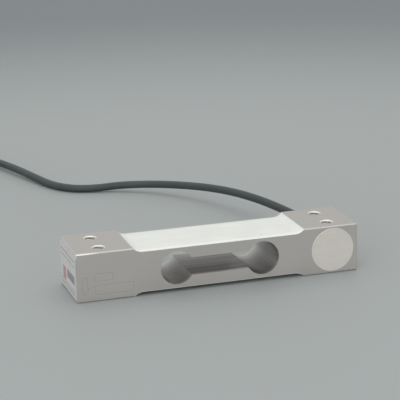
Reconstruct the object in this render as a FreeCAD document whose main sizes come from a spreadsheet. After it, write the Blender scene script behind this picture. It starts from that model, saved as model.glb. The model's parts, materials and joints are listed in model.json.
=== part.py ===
import FreeCAD, Part
import math
import os
import Sketcher

# Single point load cell: an aluminium bending beam with a binocular cut, four bonded
# strain gauges under white silicone, a junction pocket closed by a foil disc, and a
# round signal cable that ends in stripped cores.
# Millimetres. The origin is the middle of the beam's underside. +X runs along the beam
# to the fixed end, where the cable leaves, -Y is the face with the disc, +Z is up.

SIZES = [
    # beam
    ("beam_length", 130),
    ("beam_width", 30),
    ("beam_height", 22),
    ("edge_chamfer", 0.5),
    ("cut_overrun", 1),
    # binocular cut
    ("bore_radius", 7.6),
    ("bore_spacing", 39.4),
    ("slot_height", 8),
    # gauge recesses, top and bottom
    ("recess_length", 78.8),
    ("recess_depth", 2),
    ("recess_end_radius", 5),
    # M6 threads, drilled through at the tapping size
    ("thread_end_distance", 12),
    ("thread_spacing", 15),
    ("thread_radius", 2.5),
    ("thread_mouth_chamfer", 0.5),
    # junction pocket in the front face, and the ways into it
    ("pocket_radius", 9),
    ("pocket_depth", 3.6),
    ("channel_radius", 0.9),
    ("channel_entry_angle", 34.6),
    ("channel_approach", 3.2),
    ("cable_end_distance", 5.8),
    ("cable_bore_radius", 2.3),
    ("cable_mouth_chamfer", 0.7),
    # silicone over the gauges
    ("coat_thickness", 0.6),
    ("coat_end_radius", 8),
    # strain gauges
    ("carrier_length", 9),
    ("carrier_width", 6),
    ("carrier_thickness", 0.15),
    ("grid_strands", 6),
    ("grid_length", 4.6),
    ("strand_width", 0.32),
    ("strand_gap", 0.28),
    ("grid_thickness", 0.08),
    ("tab_size", 1.3),
    ("tab_gap", 0.16),
    ("lead_radius", 0.15),
    ("lead_spacing", 0.8),
    ("lead_side_offset", 5.2),
    ("lead_sway", 0.2),
    ("lead_overrun", 0.2),
    # terminal board
    ("board_width", 9.4),
    ("board_height", 11),
    ("board_thickness", 0.8),
    ("board_left_gap", 1.9),
    ("pad_size", 1.6),
    ("pad_thickness", 0.1),
    ("pad_pitch", 2.6),
    ("pad_edge_gap", 0.5),
    ("solder_radius", 0.7),
    ("solder_top_radius", 0.35),
    ("solder_height", 0.75),
    ("resistor_length", 2.2),
    ("resistor_width", 1.2),
    ("resistor_height", 0.55),
    ("resistor_spacing", 3.6),
    # foil disc and end label
    ("disc_radius", 10),
    ("disc_thickness", 0.25),
    ("label_thickness", 0.15),
    ("label_margin", 0.8),
    # cable
    ("cable_radius", 2),
    ("jacket_inset", 2.4),
    ("core_radius", 0.45),
    ("core_gap", 0.06),
    ("core_pad_gap", 0.05),
    ("seal_length", 6),
    ("exit_run", 3),
    ("floor_gap", 0.02),
    # stripped end of the cable
    ("core_reach", 24),
    ("core_reach_step", 1.5),
    ("core_fan", 3.2),
    ("core_rise", 0.1),
    ("tip_radius", 0.28),
    ("tip_length", 5),
    ("drain_radius", 0.25),
    ("drain_gap", 0.35),
    ("drain_reach", 22),
    ("drain_fan", 0.3),
    # put-away coil of the cable
    ("coil_inner_turn", 16.2),
    ("coil_outer_turn", 26.7),
    ("tie_thickness", 0.8),
    ("tie_width", 3.2),
    ("tie_head", 4),
    ("tie_head_depth", 2.8),
]

# Shares and tolerances.
ARC_SHARE = 0.45  # of the shorter run beside an arc
COIL_ROUNDING = 0.9  # of the cable's radius, round the coil's rims
FIRST_BEND, SECOND_BEND = 0.2, 0.6  # of a stripped core's reach
PAD_OVERLAP = 0.25  # of a pad's side, from its middle to the end of a core
TUBE_TOLERANCE = 0.01  # of a tube's volume
LEAST_CUT = 0.01  # cubic mm
CLOSE = 1e-4  # mm
PARALLEL = 1e-6

DOC = FreeCAD.newDocument("LoadCell")
SHEET = DOC.addObject("Spreadsheet::Sheet", "Sizes")
for row, (alias, value) in enumerate(SIZES, start=1):
    SHEET.set(f"A{row}", alias)
    SHEET.set(f"B{row}", str(value))
    SHEET.setAlias(f"B{row}", alias)
DOC.recompute()

NODES = []


def size(alias):
    """The value of one cell of the sheet."""
    return float(getattr(SHEET, alias))


def bound(text):
    """An expression with every alias written as a reference to the sheet."""
    for alias in sorted((name for name, _ in SIZES), key=len, reverse=True):
        text = text.replace(f"<{alias}>", f"Sizes.{alias}")
    return text


def bind(thing, field, text):
    """Ties one property of an object to the sheet."""
    thing.setExpression(field, bound(text))


def node(thing, label):
    """Marks an object as a finished sub-part, exported under its label."""
    thing.Label = label
    NODES.append(thing)
    return thing


# ---------------------------------------------------------------- Part primitives

TURN_TO = {
    "x": FreeCAD.Rotation(FreeCAD.Vector(0, 1, 0), 90),
    "y": FreeCAD.Rotation(FreeCAD.Vector(1, 0, 0), -90),
    "z": FreeCAD.Rotation(),
}


def place(thing, corner):
    """Ties an object's base point to three expressions."""
    for axis, text in zip("xyz", corner):
        bind(thing, f"Placement.Base.{axis}", text)


def box(name, sides, corner):
    """A box from its three sides and its lowest corner."""
    solid = DOC.addObject("Part::Box", name)
    for field, text in zip(("Length", "Width", "Height"), sides):
        bind(solid, field, text)
    place(solid, corner)
    return solid


def cylinder(name, radius, length, base, axis):
    """A cylinder that runs from its base point along a positive axis."""
    solid = DOC.addObject("Part::Cylinder", name)
    bind(solid, "Radius", radius)
    bind(solid, "Height", length)
    solid.Placement = FreeCAD.Placement(FreeCAD.Vector(), TURN_TO[axis])
    place(solid, base)
    return solid


def cone(name, base_radius, top_radius, length, base, axis):
    """A cone frustum that runs from its base point along a positive axis."""
    solid = DOC.addObject("Part::Cone", name)
    bind(solid, "Radius1", base_radius)
    bind(solid, "Radius2", top_radius)
    bind(solid, "Height", length)
    solid.Placement = FreeCAD.Placement(FreeCAD.Vector(), TURN_TO[axis])
    place(solid, base)
    return solid


def fuse(name, shapes):
    """One object out of several."""
    solid = DOC.addObject("Part::MultiFuse", name)
    solid.Shapes = shapes
    return solid


def cut(name, base, tools):
    """The base with each tool taken away in turn."""
    for index, tool in enumerate(tools, start=1):
        solid = DOC.addObject("Part::Cut", f"{name}_{index}")
        solid.Base = base
        solid.Tool = tool
        base = solid
    return base


def feature(name, shape):
    """A shape made by code, as an object of the document."""
    thing = DOC.addObject("Part::Feature", name)
    thing.Shape = shape
    thing.Placement = FreeCAD.Placement()
    return thing


# ---------------------------------------------------------------- tubes and wires


def tube_path(points):
    """Straight runs joined by tangent arcs, and the radius of each arc."""
    points = [FreeCAD.Vector(*point) for point in points]
    edges = []
    radii = []
    start = points[0]
    for before, corner, after in zip(points, points[1:], points[2:]):
        incoming = (corner - before).normalize()
        outgoing = (after - corner).normalize()
        half_turn = incoming.getAngle(outgoing) / 2
        reach = ARC_SHARE * min((corner - before).Length, (after - corner).Length)
        radius = reach / math.tan(half_turn)
        arc_start = corner - incoming * reach
        arc_end = corner + outgoing * reach
        inward = (outgoing - incoming).normalize()
        middle = corner + inward * (radius / math.cos(half_turn) - radius)
        edges.append(Part.LineSegment(start, arc_start).toShape())
        edges.append(Part.Arc(arc_start, middle, arc_end).toShape())
        radii.append(radius)
        start = arc_end
    edges.append(Part.LineSegment(start, points[-1]).toShape())
    return Part.Wire(edges), radii


def tube(label, points, radius, show_radii=False):
    """A round wire, core or cable along a route, checked by its volume."""
    path, radii = tube_path(points)
    heading = FreeCAD.Vector(*points[1]) - FreeCAD.Vector(*points[0])
    circle = Part.Circle(FreeCAD.Vector(*points[0]), heading, radius)
    shell = Part.Wire([circle.toShape()])
    solid = path.makePipeShell([shell], True, False)
    expected = math.pi * radius ** 2 * path.Length
    if abs(solid.Volume - expected) > TUBE_TOLERANCE * expected:
        raise RuntimeError(f"{label}: volume {solid.Volume:.2f}, expected {expected:.2f}")
    if show_radii:
        listed = ", ".join(f"{value:.0f}" for value in radii)
        print(f"{label}: length {path.Length:.1f}, arc radii {listed}")
    return feature(label, solid)


# ---------------------------------------------------------------- sketches


def sketch_on(body, role, name):
    """An empty sketch on one of the body's own origin planes."""
    plane = next(item for item in body.Origin.OriginFeatures if item.Role == role)
    drawing = body.newObject("Sketcher::SketchObject", name)
    drawing.AttachmentSupport = [(plane, "")]
    drawing.MapMode = "FlatFace"
    return drawing


def pin_point(drawing, geometry, vertex, where, texts):
    """Ties a point of a sketch to its distances from the origin."""
    for kind, text, value in zip(("DistanceX", "DistanceY"), texts, where):
        index = drawing.addConstraint(
            Sketcher.Constraint(kind, -1, 1, geometry, vertex, value)
        )
        drawing.setExpression(f"Constraints[{index}]", bound(text))


def worked_out(text):
    """The present value of an expression of the sheet."""
    for alias in sorted((name for name, _ in SIZES), key=len, reverse=True):
        text = text.replace(f"<{alias}>", f"({size(alias)})")
    probe = DOC.addObject("App::FeaturePython", "Probe")
    probe.addProperty("App::PropertyFloat", "Value")
    probe.setExpression("Value", text)
    DOC.recompute([probe])
    value = probe.Value
    DOC.removeObject(probe.Name)
    return value


def add_rectangle(drawing, low, high):
    """A rectangle from two opposite corners, each tied to the sheet."""
    left, bottom = (worked_out(text) for text in low)
    right, top = (worked_out(text) for text in high)
    corners = [(left, bottom), (right, bottom), (right, top), (left, top)]
    points = [FreeCAD.Vector(x, y, 0) for x, y in corners]
    first = drawing.GeometryCount
    for start, end in zip(points, points[1:] + points[:1]):
        drawing.addGeometry(Part.LineSegment(start, end))
    for side in range(4):
        joint = Sketcher.Constraint("Coincident", first + side, 2, first + (side + 1) % 4, 1)
        drawing.addConstraint(joint)
        kind = "Vertical" if side % 2 else "Horizontal"
        drawing.addConstraint(Sketcher.Constraint(kind, first + side))
    pin_point(drawing, first, 1, (left, bottom), low)
    pin_point(drawing, first + 2, 1, (right, top), high)


def add_circle(drawing, centre, radius):
    """A circle whose centre and radius are tied to the sheet."""
    where = [worked_out(text) for text in centre]
    middle = FreeCAD.Vector(*where, 0)
    ring = Part.Circle(middle, FreeCAD.Vector(0, 0, 1), worked_out(radius))
    index = drawing.addGeometry(ring)
    pin_point(drawing, index, 3, where, centre)
    limit = drawing.addConstraint(Sketcher.Constraint("Radius", index, worked_out(radius)))
    drawing.setExpression(f"Constraints[{limit}]", bound(radius))


def cut_through(body, drawing, name):
    """A pocket right through the body, both ways from its sketch."""
    before = body.Tip.Shape.Volume
    pocket = body.newObject("PartDesign::Pocket", name)
    pocket.Profile = drawing
    pocket.Type = "ThroughAll"
    pocket.Midplane = True
    DOC.recompute()
    check_cut(name, before, pocket)
    return pocket


def check_cut(name, before, feature_made):
    """Stops the build when a cut has removed nothing."""
    if not feature_made.Shape.Volume < before - LEAST_CUT:
        raise RuntimeError(f"{name} removed no metal")


def edges_where(shape, test):
    """The names of the edges that pass a test."""
    return [f"Edge{i}" for i, edge in enumerate(shape.Edges, start=1) if test(edge)]


def add_chamfer(body, name, alias, test):
    """A chamfer on the edges of the body's present shape that pass a test."""
    base = body.Tip
    chosen = edges_where(base.Shape, test)
    if not chosen:
        raise RuntimeError(f"{name} found no edge")
    chamfer = body.newObject("PartDesign::Chamfer", name)
    chamfer.Base = (base, chosen)
    bind(chamfer, "Size", f"<{alias}>")
    DOC.recompute()
    check_cut(name, base.Shape.Volume, chamfer)
    return chamfer


# ---------------------------------------------------------------- shared places

# Expressions that several sub-parts share.
HALF_LENGTH = "<beam_length> / 2"
HALF_WIDTH = "<beam_width> / 2"
MID_HEIGHT = "<beam_height> / 2"
THREAD_X = "(<beam_length> / 2 - <thread_end_distance>)"
CABLE_X = "(<beam_length> / 2 - <cable_end_distance>)"
RECESS_RUN = (
    "(<recess_length> / 2 - "
    "sqrt(2 * <recess_end_radius> * <recess_depth> - <recess_depth> * <recess_depth>))"
)
COAT_FALL = "(<recess_depth> - <coat_thickness>)"
COAT_RUN = (
    "(<recess_length> / 2 - "
    f"sqrt(2 * <coat_end_radius> * {COAT_FALL} - {COAT_FALL} * {COAT_FALL}))"
)
POCKET_FLOOR = "(<pocket_depth> - <beam_width> / 2)"
BOARD_FRONT = f"({POCKET_FLOOR} - <board_thickness>)"
BOARD_LEFT = f"({THREAD_X} - <pocket_radius> + <board_left_gap>)"
PAD_FRONT = f"({BOARD_FRONT} - <pad_thickness>)"
LEAD_PAD_X = f"({BOARD_LEFT} + <pad_edge_gap> + <pad_size> / 2)"
CORE_PAD_X = f"({BOARD_LEFT} + <board_width> - <pad_edge_gap> - <pad_size> / 2)"
CORE_COLOURS = ("red", "black", "green", "white")
CORE_COUNT = len(CORE_COLOURS)
MIDDLE_INDEX = (CORE_COUNT - 1) / 2


# ---------------------------------------------------------------- the beam


def straight_along(edge, axis):
    """True when an edge is a straight line along one axis."""
    if not isinstance(edge.Curve, Part.Line):
        return False
    direction = edge.tangentAt(edge.FirstParameter)
    return abs(abs(getattr(direction, axis)) - 1) < PARALLEL


def is_outer_edge(edge):
    """The corners between the beam's six outer faces."""
    middle = edge.CenterOfMass
    on_end = abs(abs(middle.x) - size("beam_length") / 2) < CLOSE
    on_side = abs(abs(middle.y) - size("beam_width") / 2) < CLOSE
    mid_height = size("beam_height") / 2
    on_top_or_base = abs(abs(middle.z - mid_height) - mid_height) < CLOSE
    along_length = straight_along(edge, "x") and on_side and on_top_or_base
    along_width = straight_along(edge, "y") and on_end and on_top_or_base
    upright = straight_along(edge, "z") and on_end and on_side
    return along_length or along_width or upright


def is_thread_mouth(edge):
    """The rims of the threaded holes in the top and the underside."""
    if not isinstance(edge.Curve, Part.Circle):
        return False
    mid_height = size("beam_height") / 2
    at_face = abs(abs(edge.Curve.Center.z - mid_height) - mid_height) < CLOSE
    return at_face and abs(edge.Curve.Radius - size("thread_radius")) < CLOSE


def is_cable_mouth(edge):
    """The rim of the cable bore in the back face."""
    if not isinstance(edge.Curve, Part.Circle):
        return False
    at_back = abs(edge.Curve.Center.y - size("beam_width") / 2) < CLOSE
    return at_back and abs(edge.Curve.Radius - size("cable_bore_radius")) < CLOSE


def channel_line(side):
    """Where a wire channel starts above the recess floor, and its direction.

    side is 1 for the top recess and -1 for the bottom one."""
    bend_x = worked_out(RECESS_RUN) + size("recess_end_radius") / 2
    on_axis = FreeCAD.Vector(bend_x, channel_depth(), level_value(side, lead_height()))
    return on_axis, (pocket_entry(side) - on_axis).normalize()


def pocket_entry(side):
    """Where a wire channel comes out of the wall of the junction pocket."""
    angle = math.radians(size("channel_entry_angle"))
    radius = size("pocket_radius")
    return FreeCAD.Vector(
        worked_out(THREAD_X) - radius * math.cos(angle),
        channel_depth(),
        size("beam_height") / 2 + side * radius * math.sin(angle),
    )


def channel_depth():
    """The channels run at half the depth of the junction pocket."""
    return (size("pocket_depth") - size("beam_width")) / 2


def lead_height():
    """The height of a gauge lead's axis above its recess floor."""
    return size("carrier_thickness") + size("grid_thickness") + size("lead_radius")


def make_beam():
    """One piece of machined aluminium bar."""
    body = DOC.addObject("PartDesign::Body", "Beam")

    profile = sketch_on(body, "XZ_Plane", "bar_section")
    add_rectangle(profile, (f"-{HALF_LENGTH}", "0"), (HALF_LENGTH, "<beam_height>"))
    bar = body.newObject("PartDesign::Pad", "bar")
    bar.Profile = profile
    bar.Midplane = True
    bind(bar, "Length", "<beam_width>")
    DOC.recompute()

    recess = sketch_on(body, "XZ_Plane", "recess_runs")
    add_rectangle(
        recess,
        (f"-{RECESS_RUN}", "<beam_height> - <recess_depth>"),
        (RECESS_RUN, "<beam_height> + <cut_overrun>"),
    )
    add_rectangle(recess, (f"-{RECESS_RUN}", "-<cut_overrun>"), (RECESS_RUN, "<recess_depth>"))
    cut_through(body, recess, "recesses")

    ends = sketch_on(body, "XZ_Plane", "recess_ends")
    for sign in ("-", ""):
        for axis_height in (
            "<beam_height> - <recess_depth> + <recess_end_radius>",
            "<recess_depth> - <recess_end_radius>",
        ):
            add_circle(ends, (f"{sign}{RECESS_RUN}", axis_height), "<recess_end_radius>")
    cut_through(body, ends, "recess_end_sweeps")

    bores = sketch_on(body, "XZ_Plane", "bore_circles")
    for sign in ("-", ""):
        add_circle(bores, (f"{sign}<bore_spacing> / 2", MID_HEIGHT), "<bore_radius>")
    cut_through(body, bores, "bores")

    slot = sketch_on(body, "XZ_Plane", "slot_outline")
    add_rectangle(
        slot,
        ("-<bore_spacing> / 2", f"{MID_HEIGHT} - <slot_height> / 2"),
        ("<bore_spacing> / 2", f"{MID_HEIGHT} + <slot_height> / 2"),
    )
    cut_through(body, slot, "slot")

    threads = sketch_on(body, "XY_Plane", "thread_circles")
    for x_sign in ("-", ""):
        for y_sign in ("-", ""):
            centre = (f"{x_sign}{THREAD_X}", f"{y_sign}<thread_spacing> / 2")
            add_circle(threads, centre, "<thread_radius>")
    cut_through(body, threads, "threaded_holes")
    add_chamfer(body, "thread_mouths", "thread_mouth_chamfer", is_thread_mouth)

    add_side_cut(body, "junction_pocket", THREAD_X, "<pocket_radius>", "<pocket_depth>", True)
    add_side_cut(
        body,
        "cable_bore",
        CABLE_X,
        "<cable_bore_radius>",
        "<beam_width> - <pocket_depth> / 2",
        False,
    )
    add_chamfer(body, "cable_mouth", "cable_mouth_chamfer", is_cable_mouth)

    for side, name in ((1, "top_channel"), (-1, "bottom_channel")):
        add_channel(body, name, side)

    add_chamfer(body, "outer_edges", "edge_chamfer", is_outer_edge)
    return node(body, "beam")


def add_side_cut(body, name, along, radius, depth, from_front):
    """A round blind cut square to the front or the back face."""
    drawing = sketch_on(body, "XZ_Plane", name + "_circle")
    shift = "<beam_width> / 2" if from_front else "-<beam_width> / 2"
    bind(drawing, "AttachmentOffset.Base.z", shift)
    add_circle(drawing, (along, MID_HEIGHT), radius)
    before = body.Tip.Shape.Volume
    pocket = body.newObject("PartDesign::Pocket", name)
    pocket.Profile = drawing
    pocket.Reversed = not from_front
    bind(pocket, "Length", depth)
    DOC.recompute()
    check_cut(name, before, pocket)


def add_channel(body, name, side):
    """A drilled way from the end of a gauge recess down into the junction pocket."""
    before = body.Tip.Shape.Volume
    on_axis, direction = channel_line(side)
    start = on_axis - direction * (2 * size("channel_radius"))
    drill = body.newObject("PartDesign::SubtractiveCylinder", name)
    bind(drill, "Radius", "<channel_radius>")
    past_entry = pocket_entry(side) + direction * (2 * size("channel_radius"))
    drill.Height = (past_entry - start).Length
    turn = FreeCAD.Rotation(FreeCAD.Vector(0, 0, 1), direction)
    drill.AttachmentOffset = FreeCAD.Placement(start, turn)
    plane = next(item for item in body.Origin.OriginFeatures if item.Role == "XY_Plane")
    drill.AttachmentSupport = [(plane, "")]
    drill.MapMode = "FlatFace"
    DOC.recompute()
    body.Tip = drill
    check_cut(name, before, drill)


# ---------------------------------------------------------------- gauges

GAUGES = [
    # name, side of the beam, end of the beam
    ("top_load_end", 1, -1),
    ("top_fixed_end", 1, 1),
    ("bottom_load_end", -1, -1),
    ("bottom_fixed_end", -1, 1),
]


def level(side, height):
    """The z of a height above a recess floor, as an expression."""
    if side > 0:
        return f"<beam_height> - <recess_depth> + {height}"
    return f"<recess_depth> - ({height})"


def level_value(side, height):
    """The z of a height above a recess floor."""
    mid_height = size("beam_height") / 2
    return mid_height + side * (mid_height - size("recess_depth") + height)


def make_carrier(name, side, end):
    """The polyimide backing, bonded over the thinnest metal of its bore."""
    low = level(side, "0") if side > 0 else level(side, "<carrier_thickness>")
    carrier = box(
        "Carrier_" + name,
        ("<carrier_length>", "<carrier_width>", "<carrier_thickness>"),
        (f"{end} * <bore_spacing> / 2 - <carrier_length> / 2", "-<carrier_width> / 2", low),
    )
    return node(carrier, "gauge_carrier_" + name)


def grid_strips():
    """The foil grid as flat strips: strands along X, their end loops and two tabs.

    Each strip is (left, right, low y, high y) about the grid's middle. The tabs lie at
    the +X end, either side of the middle, on the first and the last strand."""
    strands = int(size("grid_strands"))
    width, gap = size("strand_width"), size("strand_gap")
    pitch = width + gap
    half = (strands * pitch - gap) / 2
    left = -size("grid_length") / 2
    right = size("grid_length") / 2 - size("tab_size") - gap
    strips = []
    for index in range(strands):
        low = index * pitch - half
        is_outermost = index in (0, strands - 1)
        strips.append((left, right + gap if is_outermost else right, low, low + width))
        if index < strands - 1:
            loop_left = left if index % 2 == 0 else right - width
            strips.append((loop_left, loop_left + width, low, low + pitch + width))
    tab_left, tab_right = right + gap, right + gap + size("tab_size")
    strips.append((tab_left, tab_right, -half, -size("tab_gap") / 2))
    strips.append((tab_left, tab_right, size("tab_gap") / 2, half))
    return strips


def make_grid(name, side, end):
    """The etched constantan foil on its backing."""
    thickness = size("grid_thickness")
    base = level_value(side, size("carrier_thickness"))
    low_z = base if side > 0 else base - thickness
    middle = end * size("bore_spacing") / 2
    plates = [
        Part.makeBox(right - left, high - low, thickness, FreeCAD.Vector(middle + left, low, low_z))
        for left, right, low, high in grid_strips()
    ]
    foil = plates[0].multiFuse(plates[1:]).removeSplitter()
    return node(feature("Grid_" + name, foil), "gauge_grid_" + name)


def make_lead(name, side, end):
    """The twisted enamelled pair from a gauge's tabs to the terminal board."""
    z = level_value(side, lead_height())
    start_x = end * size("bore_spacing") / 2 + size("grid_length") / 2 - size("tab_size") / 2
    on_axis, _ = channel_line(side)
    mouth = pocket_entry(side)
    y = on_axis.y + end * size("lead_spacing") / 2
    side_y = -size("lead_side_offset") - (1 - end) * size("lead_spacing") / 2
    board_end = worked_out(LEAD_PAD_X)
    pad_z = pad_height(CORE_COUNT - pad_index(side, end))
    lead_y = worked_out(PAD_FRONT) - size("solder_height") / 2
    points = [
        (start_x, 0, z),
        (start_x + size("carrier_length") / 2, -size("lead_sway"), z),
        (start_x + size("carrier_length"), side_y, z),
    ]
    if end < 0:
        past_far_bore = size("bore_spacing") / 2 + size("carrier_length") / 2
        points.append((past_far_bore, side_y - size("lead_sway") / 2, z))
    points += [
        (on_axis.x - size("channel_approach"), y, z),
        (on_axis.x, y, z),
        (mouth.x, y, mouth.z),
        (board_end + size("lead_overrun"), lead_y, pad_z),
    ]
    return node(tube("Lead_" + name, points, size("lead_radius")), "gauge_lead_" + name)


def pad_index(side, end):
    """The gauge leads' pads from the top of the board down, numbered from 1."""
    return {(1, 1): 1, (1, -1): 2, (-1, -1): 3, (-1, 1): 4}[(side, end)]


# ---------------------------------------------------------------- junction pocket


def pad_height(index):
    """The z of a pad, counted up from the lowest, which is 0."""
    return size("beam_height") / 2 + (index - MIDDLE_INDEX) * size("pad_pitch")


def pad_level(index):
    """The z of a pad as an expression."""
    return f"({MID_HEIGHT} + {index - MIDDLE_INDEX} * <pad_pitch>)"


def make_board():
    """The small glass-fibre board on the pocket's floor."""
    board = box(
        "Board",
        ("<board_width>", "<board_thickness>", "<board_height>"),
        (BOARD_LEFT, BOARD_FRONT, f"{MID_HEIGHT} - <board_height> / 2"),
    )
    return node(board, "terminal_board")


def make_pads():
    """Copper pads in two rows, for the gauge leads and for the cable's cores."""
    pads = []
    for row, along in (("lead", LEAD_PAD_X), ("core", CORE_PAD_X)):
        for index in range(CORE_COUNT):
            pads.append(
                box(
                    f"Pad_{row}_{index}",
                    ("<pad_size>", "<pad_thickness>", "<pad_size>"),
                    (
                        f"{along} - <pad_size> / 2",
                        PAD_FRONT,
                        f"{pad_level(index)} - <pad_size> / 2",
                    ),
                )
            )
    return node(fuse("Pads", pads), "terminal_pads")


def make_solder(wires):
    """Solder domes on the pads, each closed round the end of its wire."""
    domes = []
    for row, along in (("lead", LEAD_PAD_X), ("core", CORE_PAD_X)):
        for index in range(CORE_COUNT):
            domes.append(
                cone(
                    f"Dome_{row}_{index}",
                    "<solder_top_radius>",
                    "<solder_radius>",
                    "<solder_height>",
                    (along, f"{PAD_FRONT} - <solder_height>", pad_level(index)),
                    "y",
                )
            )
    return node(cut("Solder", fuse("Domes", domes), wires), "solder_joints")


def make_resistor(label, index):
    """A chip resistor between the two rows of pads."""
    middle = f"(({LEAD_PAD_X} + {CORE_PAD_X}) / 2)"
    chip = box(
        "Resistor_" + label,
        ("<resistor_width>", "<resistor_height>", "<resistor_length>"),
        (
            f"{middle} - <resistor_width> / 2",
            f"{BOARD_FRONT} - <resistor_height>",
            f"{MID_HEIGHT} + {index} * <resistor_spacing> - <resistor_length> / 2",
        ),
    )
    return node(chip, label)


def core_offset(index):
    """The cores lie side by side across the cable's end, evenly about its axis."""
    return (index - MIDDLE_INDEX) * (2 * size("core_radius") + size("core_gap"))


def make_inner_core(colour, index):
    """One core from the jacket's inner end to its pad."""
    x = worked_out(CABLE_X)
    z = size("beam_height") / 2 + core_offset(index)
    x_end = worked_out(CORE_PAD_X) - PAD_OVERLAP * size("pad_size")
    y_end = worked_out(PAD_FRONT) - size("core_radius") - size("core_pad_gap")
    points = [
        (x, jacket_start(), z),
        (x, y_end, z),
        (x_end, y_end, pad_height(index)),
    ]
    core = tube("Core_" + colour, points, size("core_radius"))
    return node(core, f"inner_core_{colour}")


def jacket_start():
    """The y at which the jacket ends inside its bore."""
    return worked_out(POCKET_FLOOR) + size("jacket_inset")


# ---------------------------------------------------------------- cable


def cable_route():
    """The cable's axis from inside its bore to the coil, as points chosen by hand."""
    x = worked_out(CABLE_X)
    z = size("beam_height") / 2
    lying = size("cable_radius") + size("floor_gap")
    back = size("beam_width") / 2
    return [
        (x, jacket_start(), z),
        (x, back + size("exit_run"), z),
        (57.6, 45.0, 11.1),
        (52.9, 71.0, 10.8),
        (46.6, 94.0, 9.8),
        (38.8, 113.5, 8.4),
        (28.3, 131.5, 6.4),
        (14.8, 146.5, 4.3),
        (-0.5, 155.2, 2.7),
        (-12.0, 158.6, lying),
        (-23.6, 163.8, lying),
        (-32.2, 174.4, lying),
        (-38.0, 190.6, lying),
        (-46.0, 212.0, lying),
        (-54.0, 237.0, lying),
        (-66.0, 262.0, lying),
    ]


def coil_centre():
    """The coil's middle: its outer turn is tangent to the last run of the route."""
    before, last = (FreeCAD.Vector(*point) for point in cable_route()[-2:])
    heading = (last - before).normalize()
    left = FreeCAD.Vector(-heading.y, heading.x, 0)
    return FreeCAD.Vector(last.x, last.y, 0) + left * size("coil_outer_turn")


def tail_route():
    """The free end: off the top of the coil and down to the surface."""
    centre = coil_centre()
    top = 3 * size("cable_radius") + size("floor_gap")
    lying = size("cable_radius") + size("floor_gap")
    back = centre.y + size("coil_outer_turn")
    return [
        (centre.x, back, top),
        (centre.x - 12.5, back + 0.4, 5.0),
        (centre.x - 24.0, back + 2.6, 2.9),
        (centre.x - 35.0, back + 6.0, lying),
    ]


def make_coil(tie, tubes):
    """The put-away length: the outer form of its turns in two layers."""
    radius = size("cable_radius")
    centre = coil_centre() + FreeCAD.Vector(0, 0, size("floor_gap"))
    height = 4 * radius
    outer = Part.makeCylinder(size("coil_outer_turn") + radius, height, centre)
    inner = Part.makeCylinder(size("coil_inner_turn") - radius, height, centre)
    ring = outer.cut(inner)
    rims = [edge for edge in ring.Edges if isinstance(edge.Curve, Part.Circle)]
    rounded = feature("Coil_ring", ring.makeFillet(COIL_ROUNDING * radius, rims))
    return node(cut("Coil", rounded, [tie] + tubes), "cable_coil")


def make_tie():
    """A flat nylon tie round the turns, with its square head on the inner side."""
    radius, thick = size("cable_radius"), size("tie_thickness")
    centre = coil_centre()
    low_r = size("coil_inner_turn") - radius
    high_r = size("coil_outer_turn") + radius
    width, head, depth = size("tie_width"), size("tie_head"), size("tie_head_depth")
    floor, top = size("floor_gap"), 4 * radius + size("floor_gap")

    def block(r_from, r_to, z_from, z_to, across):
        corner = FreeCAD.Vector(centre.x - r_to, centre.y - across / 2, z_from)
        return Part.makeBox(r_to - r_from, across, z_to - z_from, corner)

    band = block(low_r - thick, high_r + thick, floor, top + thick, width)
    opening = block(low_r, high_r, floor + thick, top, width)
    lock = block(low_r - thick - depth, low_r - thick, top - head, top, head)
    return node(feature("Tie", band.cut(opening).fuse(lock).removeSplitter()), "coil_tie")


def tail_frame():
    """The tail's last point and the level directions along and across it."""
    before, last = (FreeCAD.Vector(*point) for point in tail_route()[-2:])
    along = FreeCAD.Vector(last.x - before.x, last.y - before.y, last.z - before.z).normalize()
    across = FreeCAD.Vector(-along.y, along.x, 0).normalize()
    return last, along, across


def stripped_route(offset, height, radius, spread, reach):
    """A stripped core or wire from the jacket's cut end down to the surface."""
    last, along, across = tail_frame()
    lift = across.cross(along) * -height
    start = last + across * offset + lift
    lying = radius + size("floor_gap")
    first = start + along * (FIRST_BEND * reach)
    second = last + along * (SECOND_BEND * reach) + across * (offset + spread / 2)
    third = last + along * reach + across * (offset + spread)
    second.z = lying + size("core_rise")
    third.z = lying
    return [tuple(start), tuple(first), tuple(second), tuple(third)]


def make_stripped_core(colour, index):
    """The stripped end of one core, and its tinned tip."""
    fan = (index - MIDDLE_INDEX) * size("core_fan")
    reach = size("core_reach") + size("core_reach_step") * (index % 2)
    route = stripped_route(core_offset(index), 0, size("core_radius"), fan, reach)
    core = tube("Stripped_" + colour, route, size("core_radius"))
    before, last = (FreeCAD.Vector(*point) for point in route[-2:])
    heading = (last - before).normalize()
    tip = Part.makeCylinder(size("tip_radius"), size("tip_length"), last, heading)
    node(core, f"core_{colour}")
    node(feature("Tip_" + colour, tip), f"core_tip_{colour}")


def make_drain():
    """The bare drain wire of the cable's shield."""
    radius = size("drain_radius")
    height = size("core_radius") + radius + size("drain_gap")
    route = stripped_route(0, height, radius, size("drain_fan"), size("drain_reach"))
    return node(tube("Drain", route, radius), "shield_drain")


def make_seal(jacket):
    """The adhesive that holds and seals the cable in its bore, flush with the face."""
    plug = cylinder(
        "Seal_plug",
        "<cable_bore_radius>",
        "<seal_length>",
        (CABLE_X, f"{HALF_WIDTH} - <seal_length>", MID_HEIGHT),
        "y",
    )
    mouth = cone(
        "Seal_mouth",
        "<cable_bore_radius>",
        "<cable_bore_radius> + <cable_mouth_chamfer>",
        "<cable_mouth_chamfer>",
        (CABLE_X, f"{HALF_WIDTH} - <cable_mouth_chamfer>", MID_HEIGHT),
        "y",
    )
    return node(cut("Seal", fuse("Seal_body", [plug, mouth]), [jacket]), "cable_seal")


# ---------------------------------------------------------------- coats, disc and label


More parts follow.
